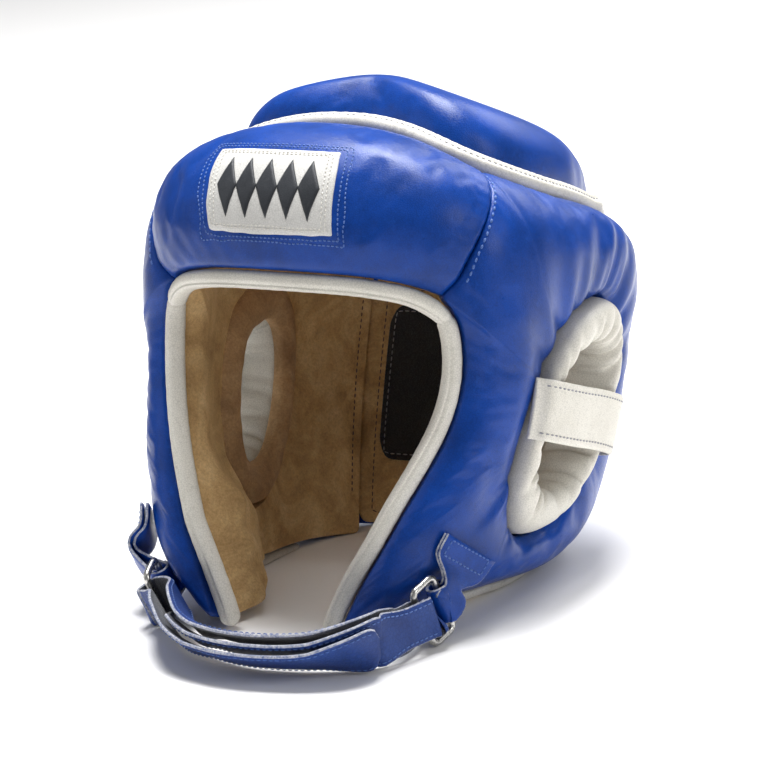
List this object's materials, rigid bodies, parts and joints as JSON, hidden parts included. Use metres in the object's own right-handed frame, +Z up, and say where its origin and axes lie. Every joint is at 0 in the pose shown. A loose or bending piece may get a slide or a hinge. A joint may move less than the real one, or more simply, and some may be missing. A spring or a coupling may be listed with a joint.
{
  "type": "boxing headgear",
  "caption": "Padded open-face head guard with leather covers, ear rings, a hook-and-loop rear flap and a ring-and-strap chin closure.",
  "frame": {"origin": "centre of the footprint, on the surface the headgear stands on", "axes": "+Z up, face opening towards -Y, +X towards the wearer's left ear"},
  "size_m": [0.2126, 0.2966, 0.2263],
  "materials": {
    "blue_leather": "fine-grained, semi-gloss",
    "cream_leather": "fine-grained, satin",
    "patch_leather": "smooth, satin, blank",
    "suede": "napped, matte",
    "foam": "closed-cell foam, matte",
    "black_tape": "hook-and-loop pile, matte",
    "strap_velvet": "grained outside, loop pile inside",
    "steel": "polished nickel plate"
  },
  "bodies": {
    "shell": {"front_cover": "blue_leather", "front_foam": "foam", "front_lining": "suede", "crown_cover": "blue_leather", "crown_foam": "foam", "crown_lining": "suede", "left_side_cover": "blue_leather", "left_side_foam": "foam", "left_side_lining": "suede", "right_side_cover": "blue_leather", "right_side_foam": "foam", "right_side_lining": "suede", "crown_binding": "cream_leather", "face_binding": "cream_leather", "label_patch": "patch_leather", "left_bottom_piping": "cream_leather", "left_ear_ring": "cream_leather", "left_ear_ring_foam": "foam", "left_ear_pad": "suede", "left_ear_strap": "cream_leather", "left_strap_tab": "blue_leather", "right_bottom_piping": "cream_leather", "right_ear_ring": "cream_leather", "right_ear_ring_foam": "foam", "right_ear_pad": "suede", "right_ear_strap": "cream_leather", "right_strap_tab": "blue_leather", "rear_wing": "blue_leather", "loop_tape": "black_tape"},
    "left_ring": {"left_ring": "steel"},
    "right_ring": {"right_ring": "steel"},
    "chin_strap": {"chin_strap": "strap_velvet"},
    "strap_end": {"strap_end": "strap_velvet"},
    "rear_flap": {"rear_flap": "blue_leather", "rear_flap_lining": "suede", "hook_tape": "black_tape"}
  },
  "joints": [
    {"name": "rear_flap_hinge", "type": "hinge", "parent": "shell", "child": "rear_flap", "pos_m": [-0.05731, 0.09351, 0.05509], "axis": [-0.0932, 0.4149, 0.9051], "range_deg": [0, 110]},
    {"name": "left_ring_swivel", "type": "hinge", "parent": "shell", "child": "left_ring", "pos_m": [0.07505, -0.06798, 0.01833], "axis": [-0.1641, -0.301, 0.9394], "range_deg": [-2, 2]},
    {"name": "right_ring_swivel", "type": "hinge", "parent": "shell", "child": "right_ring", "pos_m": [-0.06455, -0.07318, 0.01553], "axis": [-0.1152, -0.3631, 0.9246], "range_deg": [-2, 2]},
    {"name": "chin_strap_swing", "type": "hinge", "parent": "shell", "child": "chin_strap", "pos_m": [0.00525, -0.08342, 0.01227], "axis": [1, 0, 0], "range_deg": [-4, 2]},
    {"name": "strap_end_peel", "type": "hinge", "parent": "chin_strap", "child": "strap_end", "pos_m": [-0.06097, -0.09161, 0.00961], "axis": [0.1219, 0.3351, -0.9343], "range_deg": [0, 90]}
  ]
}
